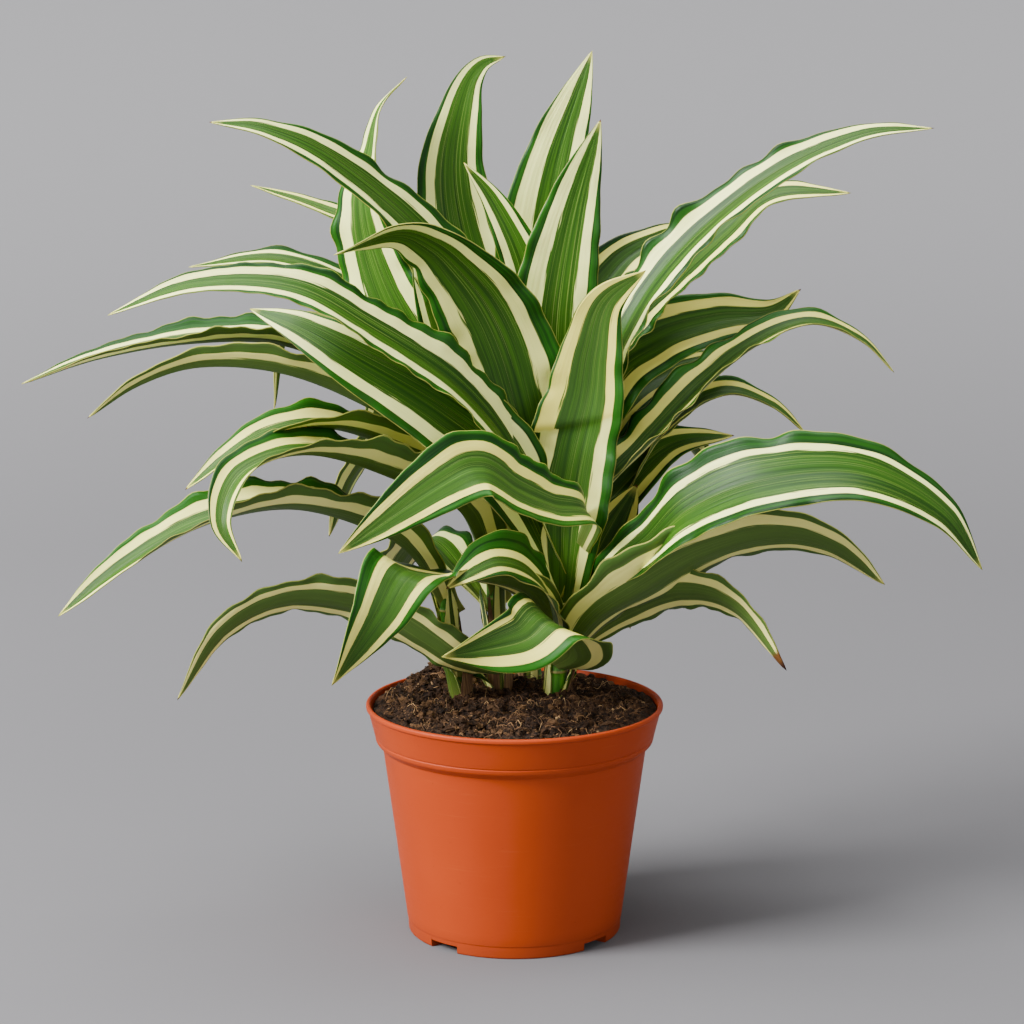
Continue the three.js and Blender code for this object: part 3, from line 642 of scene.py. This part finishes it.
cane_green = finish("cane_green", {
    "Subsurface Weight": 0.1, "Subsurface Radius": (0.3, 0.5, 0.1), "Subsurface Scale": 0.002,
    "Specular IOR Level": 0.5}, cane_skin)
canes = [cane(stem, cane_green) for stem in CANES]
print(len(canes), "canes")

# %% Old leaf bases hugging the canes
# Each: cane, height below and above, direction it faces, how far round it reaches, gap from the cane, flare
# at its top, and how creamy it is.
BASES = [
    ("front", 96, 134, 205, 110, 0.4, 1.0, 0.3), ("front", 98, 130, 335, 100, 0.6, 3.4, 0.0),
    ("front", 99, 150, 120, 150, 0.8, 1.5, 0.0), ("front", 130, 158, 250, 150, 0.8, 1.8, 0.1),
    ("front", 134, 166, 20, 130, 0.9, 1.6, 0.15),
    ("left", 98, 140, 215, 190, 0.6, 3.0, -0.3), ("left", 112, 150, 60, 150, 0.6, 2.0, -0.2),
    ("left", 122, 166, 300, 170, 0.6, 2.2, 0.2), ("left", 134, 176, 120, 150, 1.0, 2.6, 0.1),
    ("mid", 98, 130, 200, 150, 0.4, 15.0, 0.15), ("mid", 96, 146, 280, 170, 0.3, 2.0, 0.15),
    ("mid", 108, 160, 210, 150, 0.8, 2.0, 0.0), ("mid", 130, 186, 320, 150, 0.8, 2.5, 0.1),
    ("back", 96, 150, 250, 140, 0.3, 2.0, 0.1), ("back", 120, 180, 330, 150, 0.6, 2.0, 0.0),
    ("back", 150, 215, 270, 160, 0.8, 2.5, 0.1),
]


BASE_GRID = (26, 15)  # places along and across a leaf base


def leaf_base(number, stem, low, high, faces_to, reach, gap, flare, cream, material=None):
    """A half-tube ending in a point: angle = direction + reach / 2 * u, radius = cane + gap + flare * t^3."""
    rng = np.random.default_rng(500 + number)
    u, t = np.meshgrid(np.linspace(-1, 1, BASE_GRID[1]), np.linspace(0, 1, BASE_GRID[0]))
    z = low + (high - low) * t * (1 - 0.3 * np.abs(u) ** 1.6)
    angle = np.radians(faces_to + reach / 2 * u * (1 - 0.55 * t**2) + 14 * (t - 0.5) * rng.uniform(-1, 1))
    radius = cane_radius(stem, z) - 1.4 + gap + flare * t**3 + 0.25 * np.sin(9 * t + 3 * u + number) * t
    half_thick = 0.3 * (1 - 0.5 * u**2)
    axis = cane_at(stem, z)
    out = turned(1, angle, 0)
    outer = axis + out * (radius + half_thick)[..., None]
    inner = axis + out * (radius - half_thick)[..., None]
    middle = BASE_GRID[1] // 2
    top = (outer[-1, middle] + inner[-1, middle]) / 2 + (0, 0, 1.0)
    even = np.ones(BASE_GRID)
    # The old leaf bases get painted shade on their green too, at 0.7.
    numbers = {
        "share": (np.abs(u),), "under": (0.5 - 0.5 * t,), "old": (0.2 * even,), "deep": (0.7 * even,),
        "band_in": ((0.4 - cream) * even,), "pale": (0.25 * (1 - t) ** 2,),
        "band_out": ((0.76 + 0.1 * np.sin(number)) * even, None, (0.8, 0.8))}
    return closed_sheet(f"leaf_base_{number:02d}", stem, outer, inner, top, material or leaf_green, numbers,
                        (u * reach * 0.1,), (z,), number * 3.1)


bases = [leaf_base(k + 1, *row) for k, row in enumerate(BASES)]
print(len(bases), "old leaf bases")

# %% [markdown]
# ## Dry sheaths
# The oldest leaf bases have died and turned to brown, papery strips that stand beside the canes. They have
# the same form as the green ones, so only the finish is new: tan and purple-brown fibres that run upwards.

# %% Dry sheath finish and pieces
def dry_sheath(w):
    """Tan to purple-brown, chosen by noise that is stretched along the strip."""
    blade = w.carried("blade", "Vector")
    fibre = blade.noise((2.2, 0.06, 1.0), 4.0, 0.6)
    cloud = blade.noise((0.4, 0.08, 2.0), 2.0)
    colour = coated(fibre.step(0.35, 0.68).mix(paint(66, 42, 26), paint(164, 128, 84)),
                    (cloud.step(0.4, 0.7) * 0.7, (92, 60, 46)))
    return {"Base Color": colour, "Roughness": 0.65 + 0.2 * fibre, "Normal": fibre.bump(0.0006, 0.8)}


dry_brown = finish("dry_sheath", {"Specular IOR Level": 0.25}, dry_sheath)
DRY = [
    ("left", 98, 134, 320, 110, 1.8, 2.5, 0), ("left", 98, 150, 20, 70, 1.6, 1.0, 0),
    ("mid", 96, 158, 250, 60, 2.2, 1.0, 0), ("mid", 96, 136, 330, 90, 1.8, 2.0, 0),
    ("front", 98, 128, 345, 50, 1.2, 2.2, 0), ("front", 99, 118, 30, 90, 1.6, 1.4, 0),
    ("back", 99, 140, 200, 90, 1.4, 1.6, 0),
]
dry_bases = [leaf_base(60 + k, *row, material=dry_brown) for k, row in enumerate(DRY)]
print(len(dry_bases), "dry sheaths")

# %% [markdown]
# ## The pot
# The pot is moulded in one piece: a tapered wall, a deep collar with a fine groove, a rounded lip, and a foot
# ring with four notches that let water run out from the holes in its floor. Turning one outline round an axis
# gives nearly all of that. The outline's corners are rounded first, since no moulded edge is sharp, and a
# rounded edge is what catches the light. The notches are made by lifting the foot where they lie, and only
# the round holes are cut.

# %% Turned outline
def rounded(outline, radius):
    """Each corner P gives way to a curve from a point A before it to a point B after it.

    Curve = (1 - t)^2 A + 2 t (1 - t) P + t^2 B."""
    p = np.asarray(outline, float)
    before, after = p[:-2] - p[1:-1], p[2:] - p[1:-1]
    cut_a = np.minimum(radius / np.linalg.norm(before, axis=1), 0.45)[:, None]
    cut_b = np.minimum(radius / np.linalg.norm(after, axis=1), 0.45)[:, None]
    a, b, c = p[1:-1] + before * cut_a, p[1:-1] + after * cut_b, p[1:-1]
    t = np.linspace(0, 1, 5)[None, :, None]
    curve = (1 - t) ** 2 * a[:, None] + 2 * t * (1 - t) * c[:, None] + t**2 * b[:, None]
    return np.vstack([p[:1], curve.reshape(-1, 2), p[-1:]])


FLOOR_TOP, FOOT_LINE, STEP, COLLAR, RIM = 6.0, 6.0, 89.3, 92.3, 110.0  # heights
OUTLINE = [  # radius and height, from the middle of the underside, up the outside, and down the inside
    (11.0, 0), (12.0, 0), (13.0, 4), (44.0, 4), (45.0, 0), (50.1, 0), (50.5, 0.6), (50.75, 5.7),
    (51.0, FOOT_LINE), (56.6, 48), (62.2, STEP), (65.1, COLLAR - 0.3), (65.4, COLLAR + 0.3), (65.8, 94.1),
    (65.35, 94.5), (65.9, 94.9), (67.4, 101), (69.0, 107.2), (69.95, 107.9), (70.0, 109.2), (69.5, 109.9),
    (68.4, RIM), (67.75, 109.2), (65.7, 101), (63.6, COLLAR + 0.8), (60.4, STEP + 0.8), (54.7, 48),
    (49.2, 6.2), (48.6, FLOOR_TOP), (1.0, FLOOR_TOP),
]


def pot_outline():
    """The whole outline, its corners rounded by 0.35 mm and its long walls cut into stretches of 6 mm."""
    line = rounded(OUTLINE, 0.35)
    run = distance_run(line)
    stops = [np.linspace(a, b, int((b - a) // 6) + 2)[:-1] for a, b in zip(run, run[1:])]
    stops = np.concatenate([*stops, run[-1:]])
    return np.stack([np.interp(stops, run, line[:, 0]), np.interp(stops, run, line[:, 1])], -1)


# %% Pot with its notches and holes
def moulded_terracotta(w):
    """Terracotta plastic: slow drifts of tone, fine dirt in specks, a darker band at the foot, faint scuffs
    that run round the pot, and the tiny orange-peel of moulded plastic as bump."""
    place = w.place()
    height = w.node("ShaderNodeSeparateXYZ", {}, {0: place}, "Z")
    drift = place.noise((14, 14, 9), 3.0)
    peel = place.noise((1500, 1500, 1500), 2.0)
    scuff = place.noise((30, 30, 900), 3.0, 0.6)
    speck = place.noise((420, 420, 420), 3.0, 0.7)
    # Darker towards the bottom of the pot, over its lowest 12 mm.
    low = 1 - height.step(0.001, 0.012)
    colour = coated(drift.step(0.3, 0.7).mix(paint(164, 57, 15), paint(173, 63, 20)),
                    (scuff.step(0.6, 0.75) * 0.12, (190, 92, 48)),
                    (low * 0.35 + speck.step(0.66, 0.74) * 0.22, (104, 42, 20)))
    return {"Base Color": colour, "Roughness": 0.4 + 0.12 * scuff + 0.08 * speck,
            "Normal": (peel * 0.35 + speck * 0.4 + scuff * 0.25).bump(0.00012, 0.5)}


NOTCHES, NOTCH_HALF, NOTCH_TOP, NOTCH_FROM = (49, 139, 229, 319), 8, 3.6, 42.5  # degrees, then mm
FOOT_RADIUS = 50.5


def pot(material):
    """The outline turned round the axis, with the foot lifted to the notch's top wherever a notch lies.

    A pair of corners set close together on each side of a notch gives it an upright end."""
    line = pot_outline()
    half = np.arcsin(NOTCH_HALF / FOOT_RADIUS)
    notches = np.radians(NOTCHES)
    ends = [n + side * half + step for n in notches for side in (-1, 1) for step in (-0.0006, 0.0006)]
    angle = np.sort(np.concatenate([circle(192), ends]))
    r, z = line[:, :1], line[:, 1:]
    inside = (np.abs((angle - notches[:, None] + np.pi) % (2 * np.pi) - np.pi) < half).any(0)
    z = np.where((r > NOTCH_FROM) & inside, np.maximum(z, NOTCH_TOP), z)
    surface = skin(turned(r, angle, z)[None], np.array([[0, 0, 0.0]]), np.array([[0, 0, FLOOR_TOP]]))
    return piece("pot_wall", surface, material, "pot_plastic", "pot")


terracotta = finish("terracotta_plastic", {"IOR": 1.47, "Specular IOR Level": 0.18}, moulded_terracotta)
pot_wall = pot(terracotta)

# %% Drainage holes
DRAIN_COUNT, DRAIN_RING, DRAIN_RADIUS = 8, 32, 4
DRILL_ENDS = np.array([-2.0, 9.0])[:, None]  # under the pot and over its floor
centres = turned(DRAIN_RING, circle(DRAIN_COUNT)[:, None, None], 0)
holes = centres + turned(DRAIN_RADIUS, circle(28), DRILL_ENDS)
drill = piece("drill", skin(holes, holes[:, 0].mean(1), holes[:, 1].mean(1)), terracotta, "pot_plastic")
cut = pot_wall.modifiers.new("holes", "BOOLEAN")
cut.operation, cut.solver, cut.object = "DIFFERENCE", "EXACT", drill
drilled = bpy.data.meshes.new_from_object(pot_wall.evaluated_get(bpy.context.evaluated_depsgraph_get()))
pot_wall.modifiers.clear()
pot_wall.data = drilled
pot_wall.data.set_sharp_from_angle(angle=np.radians(50))
bpy.data.objects.remove(drill)
print("pot:", len(pot_wall.data.polygons), "faces")

# %% [markdown]
# ## The soil
# Potting mix is crumbs of peat and bark, tangled with pale fibres. A bumpy disc alone looks like a carpet, so
# it is built in three sizes: a surface with hills and hollows, some thousands of loose crumbs that cast their
# own small shadows, and fibres and chips that lie on top. The surface is a disc in rings, lifted by several
# layers of random hills, each finer and lower than the one before. The crumbs are one small shape, repeated
# with other random corners.

# %% Random hills
LATTICE = 128


def hills(x, y, grain, seed):
    """Random heights at the corners of a square lattice, blended between corners by 3t^2 - 2t^3.

    The lattice is finite, so further out it starts again from its first row."""
    table = np.random.default_rng(seed).random((LATTICE, LATTICE))
    x, y = x / grain + 40, y / grain + 40
    i, j = np.floor(x).astype(int), np.floor(y).astype(int)
    s, t = ease(x - i), ease(y - j)
    i, j = i % (LATTICE - 1), j % (LATTICE - 1)
    low = table[i, j] * (1 - s) + table[i + 1, j] * s
    high = table[i, j + 1] * (1 - s) + table[i + 1, j + 1] * s
    return low * (1 - t) + high * t


SOIL_EDGE, SOIL_RADIUS, SOIL_DOME = 107.6, 66.7, 2.2
HEAP_X, HEAP_Y, HEAP_HEIGHT, HEAP_SPREAD = -34, 40, 9.5, 13


def soil_height(x, y):
    """Edge + a low dome + the heap at the back left + five layers of hills, two of them folded to ridges."""
    def layer(grain, seed):
        return hills(x, y, grain, seed) - 0.5

    def ridges(grain, seed):
        return 0.5 - 2 * np.abs(layer(grain, seed))

    r = np.hypot(x, y)
    calm = np.clip((SOIL_RADIUS + 3 - r) / 12, 0, 1)
    heap = HEAP_HEIGHT * np.exp(-((x - HEAP_X) ** 2 + (y - HEAP_Y) ** 2) / (2 * HEAP_SPREAD**2))
    z = 4.6 * layer(15, 1) + 5.2 * layer(8.3, 2) + 3.2 * ridges(3.7, 3) + 1.3 * ridges(1.7, 4)
    z = z + 0.5 * layer(0.9, 5)
    return SOIL_EDGE + SOIL_DOME * (1 - (r / SOIL_RADIUS) ** 2) + calm * (heap + z)


# %% Soil body
def potting_mix(w):
    """Dark peat in several browns, picked by noise of two sizes and by each crumb's own tone."""
    place, tone = w.place(), w.carried("tone")
    crumb = place.noise((700, 700, 700), 4.0, 0.65)
    cloud = place.noise((120, 120, 120), 3.0)
    colour = coated(
        crumb.step(0.38, 0.66).mix(paint(17, 10, 6), paint(62, 42, 26)),
        (cloud.step(0.48, 0.72) * 0.5, (92, 62, 38)), (tone.step(0.55, 0.95) * 0.8, (108, 78, 50)),
        (crumb.step(0.68, 0.78) * 0.5, (140, 106, 70)))
    return {"Base Color": colour, "Roughness": 0.78 + 0.2 * cloud,
            "Normal": (crumb + 0.5 * cloud).bump(0.0012, 1.0)}


SOIL_FLOOR = 6.3
SOIL_WALL = np.array([  # radius and height up the inside of the pot
    (2.0, SOIL_FLOOR), (48.6, SOIL_FLOOR), (53.9, 48), (60.0, 90.2), (63.2, 93.3), (65.2, 101.5)])


def soil_body(material):
    """Rings up the pot's inside, then rings inwards over the bumpy top."""
    angle = circle(360)
    r = np.concatenate([SOIL_WALL[:, 0], SOIL_RADIUS * (1 - np.linspace(0, 1, 131)[:-1]) ** 0.8])[:, None]
    x, y = r * np.cos(angle), r * np.sin(angle)
    z = soil_height(x, y)
    z[:len(SOIL_WALL)] = SOIL_WALL[:, 1:]
    surface = skin(np.stack([x, y, z], -1)[None], np.array([[0, 0, SOIL_FLOOR]]),
                   np.array([[0, 0, soil_height(0.0, 0.0)]]))
    return piece("soil_body", surface, material, "potting_soil", "soil")


peat = finish("potting_mix", {"Specular IOR Level": 0.2}, potting_mix)
soil = soil_body(peat)
print("soil:", len(soil.data.polygons), "faces")

# %% Loose crumbs
def scattered(count, seed, reach):
    """Points spread evenly over a disc: radius = reach * sqrt(random)."""
    rng = np.random.default_rng(seed)
    r, a = reach * np.sqrt(rng.random(count)), rng.uniform(0, 2 * np.pi, count)
    return np.stack([r * np.cos(a), r * np.sin(a)], -1), rng


def crumbs(name, count, seed, low, high, slim, material, lift=0.15):
    """Small lumps: rings of a sphere, each corner pushed in or out at random, stretched by 1 / slim one way.

    Most are near the low size: size = low * (high / low)^(random^2.2)."""
    at, rng = scattered(count, seed, 62.5)
    size = low * (high / low) ** (rng.random(count) ** 2.2)
    polar, spin = np.radians([38, 78, 112, 148])[:, None], circle(6)
    ball = turned(np.sin(polar), spin, np.cos(polar))
    corners = ball.shape[0] * ball.shape[1] + 2
    ball = ball * rng.uniform(0.62, 1.3, (count, *ball.shape[:2], 1)) * size[:, None, None, None]
    ends = np.array([0, 0, 1.0]) * (size * rng.uniform(0.7, 1.1, count))[:, None]
    stretch = np.stack([rng.uniform(1.0, 1 / slim, count), np.ones(count), rng.uniform(0.5, 0.95, count)], -1)
    turn, tip = rng.uniform(0, 2 * np.pi, count), rng.uniform(-0.6, 0.6, count)
    c, s, ct, st = np.cos(turn), np.sin(turn), np.cos(tip), np.sin(tip)
    lean = np.array([[c * ct, -s, c * st], [s * ct, c, s * st], [-st, 0 * c, ct]])
    centre = np.column_stack([at, soil_height(at[:, 0], at[:, 1]) + size * lift])

    def placed(p):
        shape = (count, *[1] * (p.ndim - 2), 3)
        return np.einsum("ijn,n...j->n...i", lean, p * stretch.reshape(shape)) + centre.reshape(shape)

    shade = np.repeat(rng.random(count), corners)
    return piece(name, skin(placed(ball), placed(ends), placed(-ends)), material, "potting_soil", "soil",
                 values={"tone": shade}, smooth=False)


peat_crumbs = crumbs("soil_crumbs", 2400, 11, 0.5, 2.6, 0.6, peat)
fine_crumbs = crumbs("soil_fine_crumbs", 4000, 12, 0.25, 0.85, 0.6, peat)
print("crumbs:", len(peat_crumbs.data.polygons) + len(fine_crumbs.data.polygons), "faces")

# %% Fibres and chips
def straw_fibre(w):
    """Straw, tan or brown by each fibre's own tone."""
    tone, place = w.carried("tone"), w.place()
    grain = place.noise((900, 900, 900), 2.0)
    colour = tone.node("ShaderNodeValToRGB", {"stops": [
        (0.0, paint(52, 34, 22)), (1.0, paint(204, 168, 118)), (0.55, paint(112, 80, 52)),
        (0.8, paint(158, 118, 78))]}, {0: tone}, "Color")
    colour = (grain.step(0.5, 0.7) * 0.4).mix(colour, paint(84, 58, 38))
    return {"Base Color": colour, "Roughness": 0.6 + 0.25 * grain, "Normal": grain.bump(0.0003, 0.6)}


FIBRE_STOPS = 9  # places along a fibre


def fibres(name, count, seed, length, thin, material):
    """Hair-thin three-sided tubes. Each starts on the soil and turns by a slow random wave as it runs."""
    at, rng = scattered(count, seed, 60)
    steps = np.linspace(0, 1, FIBRE_STOPS)[None, :]
    runs = rng.uniform(*length, count)[:, None]

    def drawn(low, high):
        return rng.uniform(low, high, (count, 1))

    bend = drawn(-2.6, 2.6) * steps + drawn(-1.2, 1.2) * np.sin(steps * drawn(4, 11))
    heading = drawn(0, 2 * np.pi) + bend
    x = at[:, :1] + np.cumsum(np.cos(heading), 1) * runs / FIBRE_STOPS
    y = at[:, 1:] + np.cumsum(np.sin(heading), 1) * runs / FIBRE_STOPS
    past_wall = np.maximum(np.hypot(x, y) / 63.5, 1)
    x, y = x / past_wall, y / past_wall
    rise = drawn(0.3, 2.2) * np.sin(np.pi * steps * drawn(0.6, 1.4))
    path = np.stack([x, y, soil_height(x, y) + 0.35 + np.abs(rise)], -1)
    along = np.gradient(path, axis=1)
    side = np.stack([-along[..., 1], along[..., 0], 0 * x], -1)
    side /= np.linalg.norm(side, axis=-1, keepdims=True) + 1e-9
    radius = (rng.uniform(*thin, count)[:, None] * (1 - 0.75 * steps**3))[..., None, None]
    spin = np.radians([90, 210, 330])[:, None]
    ring = np.cos(spin) * side[:, :, None] + np.sin(spin) * np.array([0, 0, 1.0])
    rings = path[:, :, None] + radius * ring
    shade = np.repeat(rng.random(count) ** 2, FIBRE_STOPS * 3 + 2)
    return piece(name, skin(rings, path[:, 0], path[:, -1]), material, "potting_soil", "soil",
                 values={"tone": shade})


straw = finish("straw_fibre", {"Specular IOR Level": 0.3}, straw_fibre)
hairs = fibres("soil_fibres", 850, 21, (3, 13), (0.08, 0.22), straw)
roots = fibres("soil_rootlets", 60, 22, (8, 20), (0.2, 0.38), straw)
chips = crumbs("soil_chips", 420, 23, 0.25, 0.8, 0.35, straw, lift=0.7)
print("fibres, rootlets, chips:", [len(o.data.polygons) for o in (hairs, roots, chips)])

# %% [markdown]
# ## Floor, backdrop and light
# The plant stands in a plain studio. A floor that curves up into a wall has no corner to see, and when the
# curve is turned all the way round, like a wide bowl, the plant can be looked at from any side. A large lamp
# high on the left gives the pot its bright left side and its darker right one, a wide one overhead lifts the
# crown, a weak one opens the shadows from the right, and a pale sky over the bowl fills in the rest.

# %% Bowl-shaped studio
def studio_grey(w):
    """Darker round the plant and paler towards the wall, by the distance from the middle of the floor:
    painted shade in the middle, where the lamps are strongest, and painted light towards the wall, so that
    the whole bowl looks evenly grey.
    """
    away = w.node("ShaderNodeVectorMath", {"operation": "LENGTH"}, {0: w.place()}, "Value")
    # Painted shade near the plant and painted light towards the wall even out how the lamps fall off.
    near = away.step(0.2, 1.3).mix(paint(108, 107, 109), paint(122, 121, 123))
    return {"Base Color": away.step(0.9, 2.4).mix(near, paint(163, 162, 164))}


def studio():
    """A flat floor, then a quarter circle up to the wall's top; a second sheet below makes it a solid."""
    flat, curve, thickness = 900, 2600, 20
    bend = np.radians(np.linspace(0, 90, 40))
    r = np.concatenate([np.linspace(20, flat, 12), flat + curve * np.sin(bend[1:])])
    z = np.concatenate([np.zeros(12), curve * (1 - np.cos(bend[1:]))])
    r = np.concatenate([r, r[::-1] + thickness])[:, None]
    z = np.concatenate([z, z[::-1] - thickness])[:, None]
    under = np.array([[0, 0, -1.0 * thickness]])
    bowl = skin(turned(r, circle(128), z)[None], np.array([[0, 0, 0.0]]), under)
    grey = finish("studio_grey", {"Specular IOR Level": 0.1, "Roughness": 0.9}, studio_grey)
    return shown("studio_floor", *bowl, grey)


studio()


# %% Lamps and sky
def lamp(name, place, size, power):
    """A square lamp, side and place in metres and power in watts, turned to face the middle of the plant."""
    light = bpy.data.lights.new(name, "AREA")
    light.energy, light.size = power, size
    made = bpy.data.objects.new(name, light)
    bpy.context.scene.collection.objects.link(made)
    made.location = place
    x, y, z = np.array(place, float) - (0, 0, 0.2)
    made.rotation_euler = (np.arctan2(np.hypot(x, y), z), 0, np.arctan2(x, -y))


lamp("key", (-1.85, -0.85, 1.5), 1.0, 168)
lamp("fill", (1.3, -2.0, 0.6), 1.6, 22)
lamp("top", (-0.3, 0.0, 2.2), 1.6, 70)
sky = bpy.data.worlds.new("sky")
sky.use_nodes = True
light_of_sky = sky.node_tree.nodes["Background"].inputs
light_of_sky["Color"].default_value = (0.95, 0.97, 1.0, 1.0)
light_of_sky["Strength"].default_value = 0.37
bpy.context.scene.world = sky
